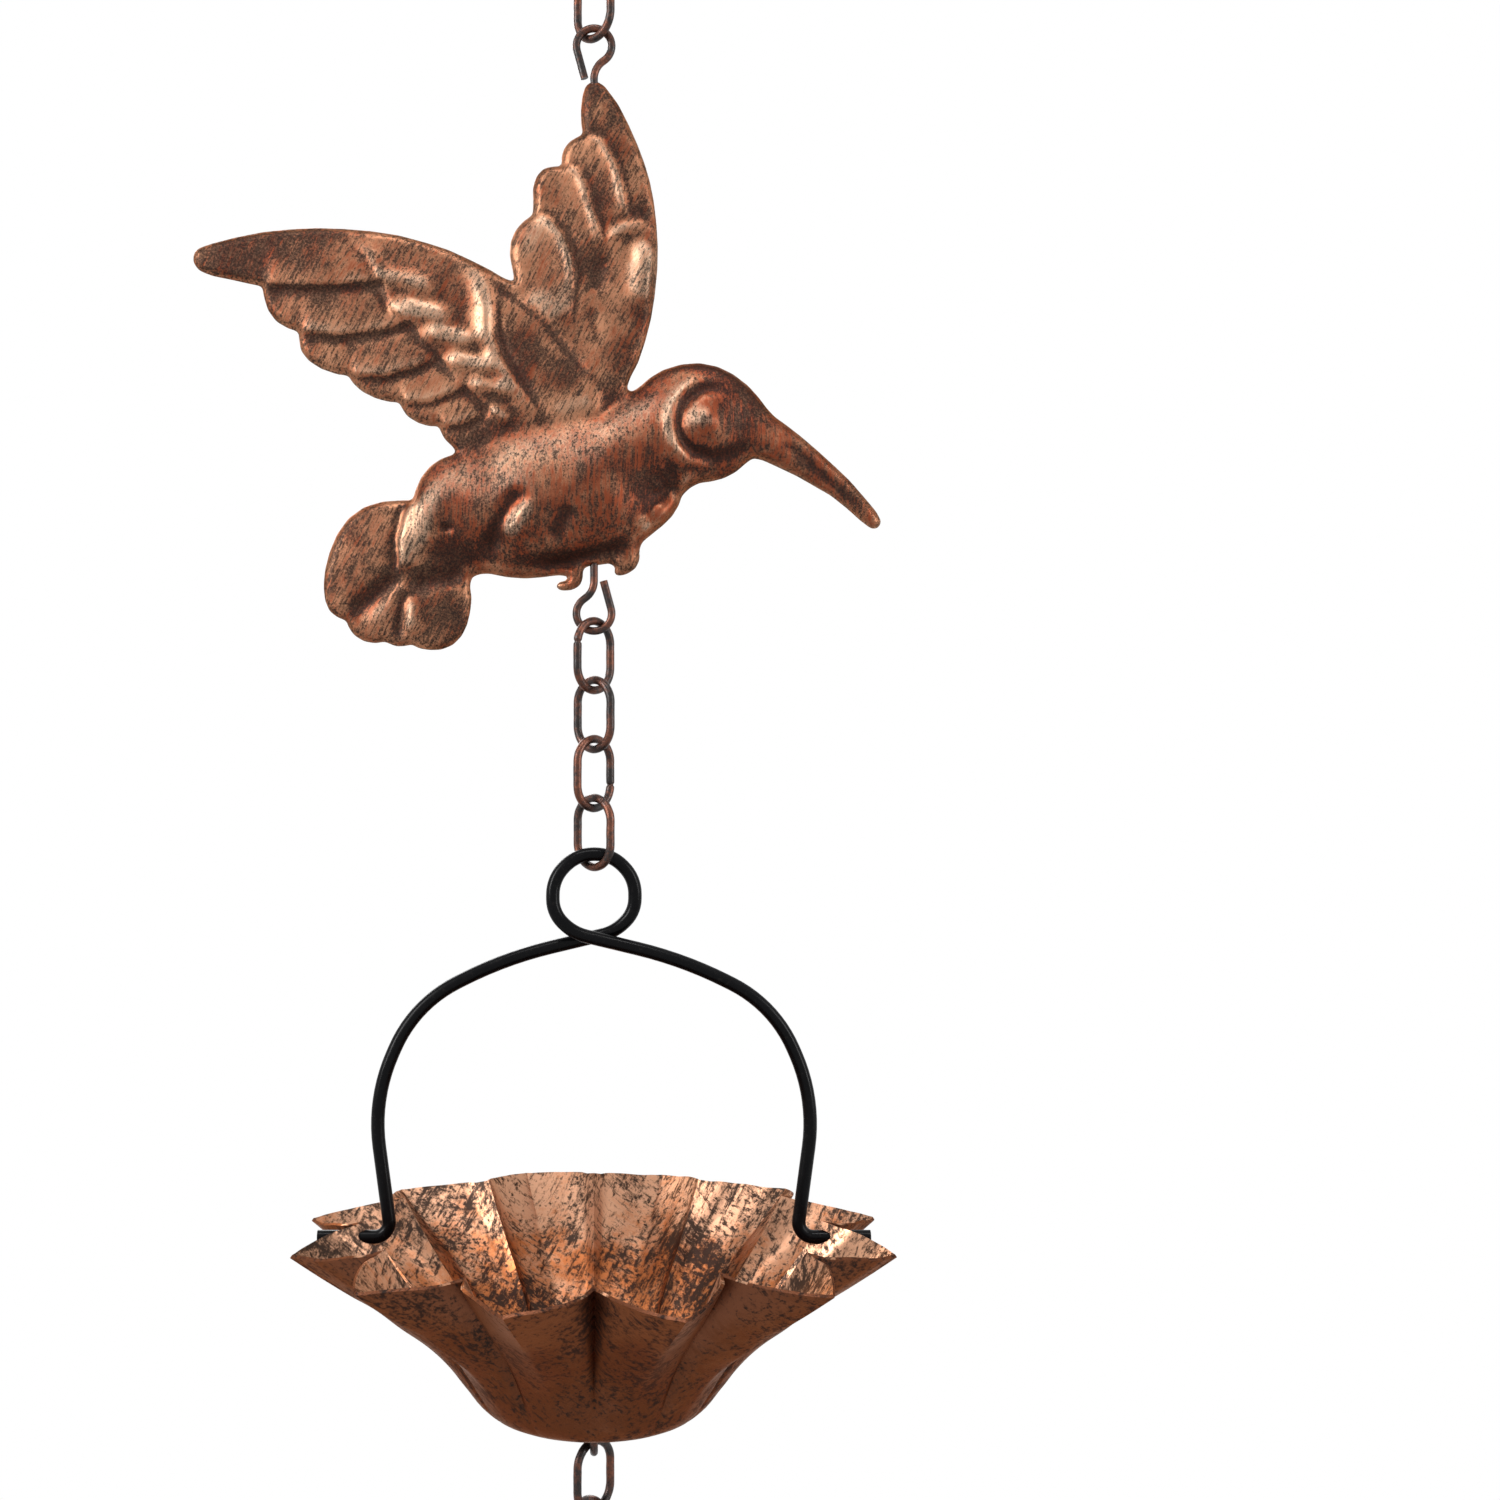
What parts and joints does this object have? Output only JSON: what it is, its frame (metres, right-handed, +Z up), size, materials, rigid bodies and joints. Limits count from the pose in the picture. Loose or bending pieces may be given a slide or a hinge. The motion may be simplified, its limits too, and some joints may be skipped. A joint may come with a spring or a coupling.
{
  "type": "rain chain",
  "caption": "Rain chain section that hangs by a ring: wire links, a pressed hummingbird, a bent wire bail and a pleated flower cup that leads roof water down.",
  "frame": {"origin": "inner top of the hanging ring, where the hook that carries the chain bears", "axes": "+Z up along the hanging chain, +X along the bird's beak side, the bird's front face towards -Y"},
  "size_m": [0.1316, 0.1108, 0.3216],
  "materials": {
    "antiqued_copper": "copper finish brushed over black, satin",
    "cup_copper": "copper finish with black patches, satin",
    "dark_copper_wire": "dark browned copper finish",
    "black_wire": "gloss black"
  },
  "bodies": {
    "ring": {"hanging_ring": "dark_copper_wire"},
    "upper_link": {"top_link": "dark_copper_wire"},
    "bird": {"bird_front_shell": "antiqued_copper", "bird_back_shell": "antiqued_copper", "bird_hanger_wire": "dark_copper_wire"},
    "link_1": {"chain_link_1": "dark_copper_wire"},
    "link_2": {"chain_link_2": "dark_copper_wire"},
    "link_3": {"chain_link_3": "dark_copper_wire"},
    "link_4": {"chain_link_4": "dark_copper_wire"},
    "bail": {"cup_bail": "black_wire"},
    "cup": {"flower_cup": "cup_copper", "cup_eye": "dark_copper_wire"},
    "tail_1": {"tail_link_1": "dark_copper_wire"},
    "tail_2": {"tail_link_2": "dark_copper_wire"}
  },
  "joints": [
    {"name": "top_link_swing", "type": "hinge", "parent": "ring", "child": "upper_link", "pos_m": [0, 0, -0.0168], "axis": [0.7071, 0.7071, 0], "range_deg": [-45, 45]},
    {"name": "bird_swing", "type": "hinge", "parent": "upper_link", "child": "bird", "pos_m": [0, 0, -0.0276], "axis": [0.4226, -0.9063, 0], "range_deg": [-45, 45]},
    {"name": "link_1_swing", "type": "hinge", "parent": "bird", "child": "link_1", "pos_m": [0, 0, -0.1402], "axis": [-0.9239, 0.3827, 0], "range_deg": [-45, 45]},
    {"name": "link_2_swing", "type": "hinge", "parent": "link_1", "child": "link_2", "pos_m": [0, 0, -0.15145], "axis": [-0.7071, -0.7071, 0], "range_deg": [-45, 45]},
    {"name": "link_3_swing", "type": "hinge", "parent": "link_2", "child": "link_3", "pos_m": [0, 0, -0.16265], "axis": [0.7071, -0.7071, 0], "range_deg": [-45, 45]},
    {"name": "link_4_swing", "type": "hinge", "parent": "link_3", "child": "link_4", "pos_m": [0, 0, -0.17385], "axis": [0.7071, 0.7071, 0], "range_deg": [-45, 45]},
    {"name": "bail_swing", "type": "hinge", "parent": "link_4", "child": "bail", "pos_m": [0, 0, -0.18505], "axis": [-0.4147, 0.91, 0], "range_deg": [-45, 45]},
    {"name": "cup_tilt", "type": "hinge", "parent": "bail", "child": "cup", "pos_m": [0, 0, -0.2553], "axis": [-1, 0, 0], "range_deg": [-45, 45]},
    {"name": "tail_1_swing", "type": "hinge", "parent": "cup", "child": "tail_1", "pos_m": [0, 0, -0.296], "axis": [0.4226, -0.9063, 0], "range_deg": [-45, 45]},
    {"name": "tail_2_swing", "type": "hinge", "parent": "tail_1", "child": "tail_2", "pos_m": [0, 0, -0.30725], "axis": [0.7071, 0.7071, 0], "range_deg": [-45, 45]}
  ]
}
